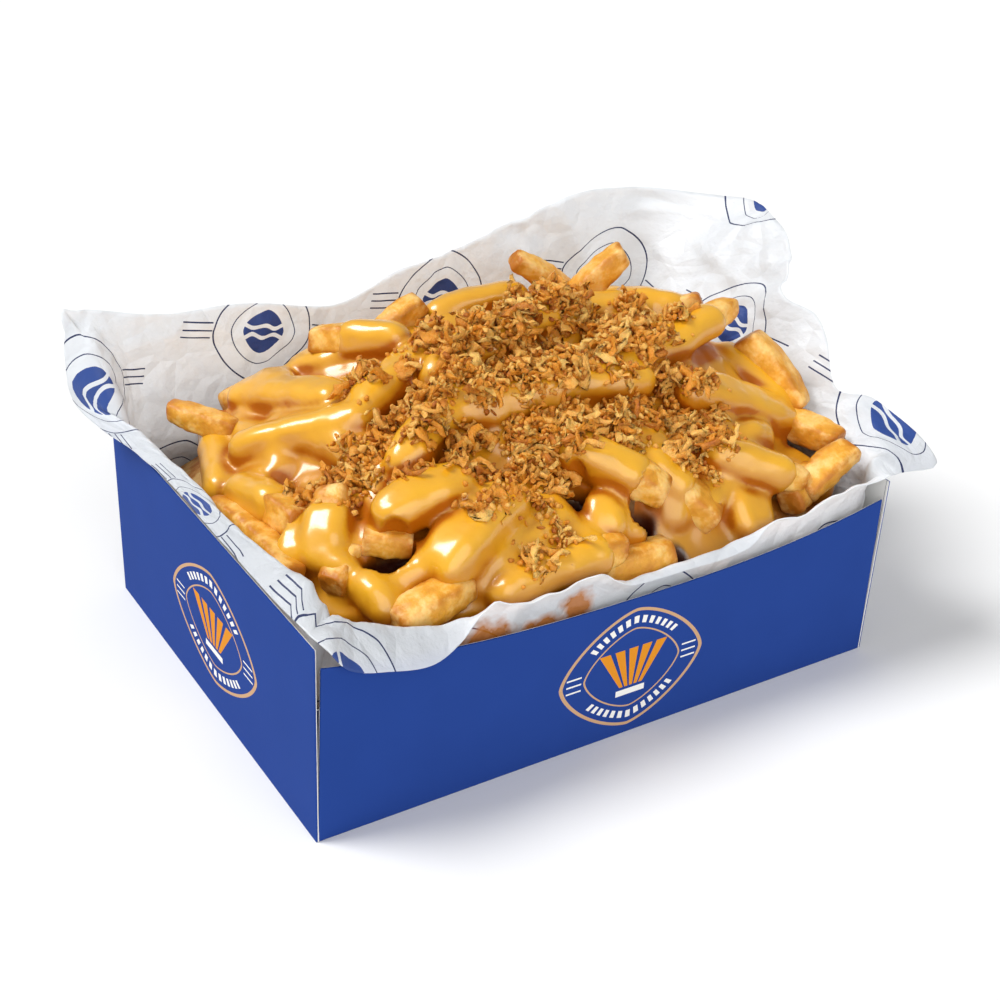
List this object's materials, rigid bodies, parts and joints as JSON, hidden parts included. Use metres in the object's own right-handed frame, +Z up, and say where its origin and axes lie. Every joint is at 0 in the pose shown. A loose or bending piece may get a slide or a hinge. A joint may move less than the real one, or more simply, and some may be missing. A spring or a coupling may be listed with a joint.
{
  "type": "cheese fries in a card tray",
  "caption": "Open card tray with a paper liner, heaped with thick-cut fries under poured cheese sauce and crispy fried onion.",
  "frame": {"origin": "middle of the tray's underside, on the surface that it stands on", "axes": "+X along the tray's long front wall, +Y towards its back wall, +Z up"},
  "size_m": [0.213, 0.1345, 0.1024],
  "materials": {
    "card": "blue printed paperboard, satin varnish outside, white uncoated inside",
    "greaseproof_paper": "crumpled greaseproof paper, faintly glossy",
    "fried_potato": "deep-fried coated potato, slightly rough",
    "cheese_sauce": "warm cheese sauce, glossy",
    "crispy_onion": "crisp fried onion, dry and rough"
  },
  "bodies": {
    "root": {"tray": "card", "paper_liner": "greaseproof_paper", "fries": "fried_potato", "cheese_sauce": "cheese_sauce"}
  },
  "joints": []
}
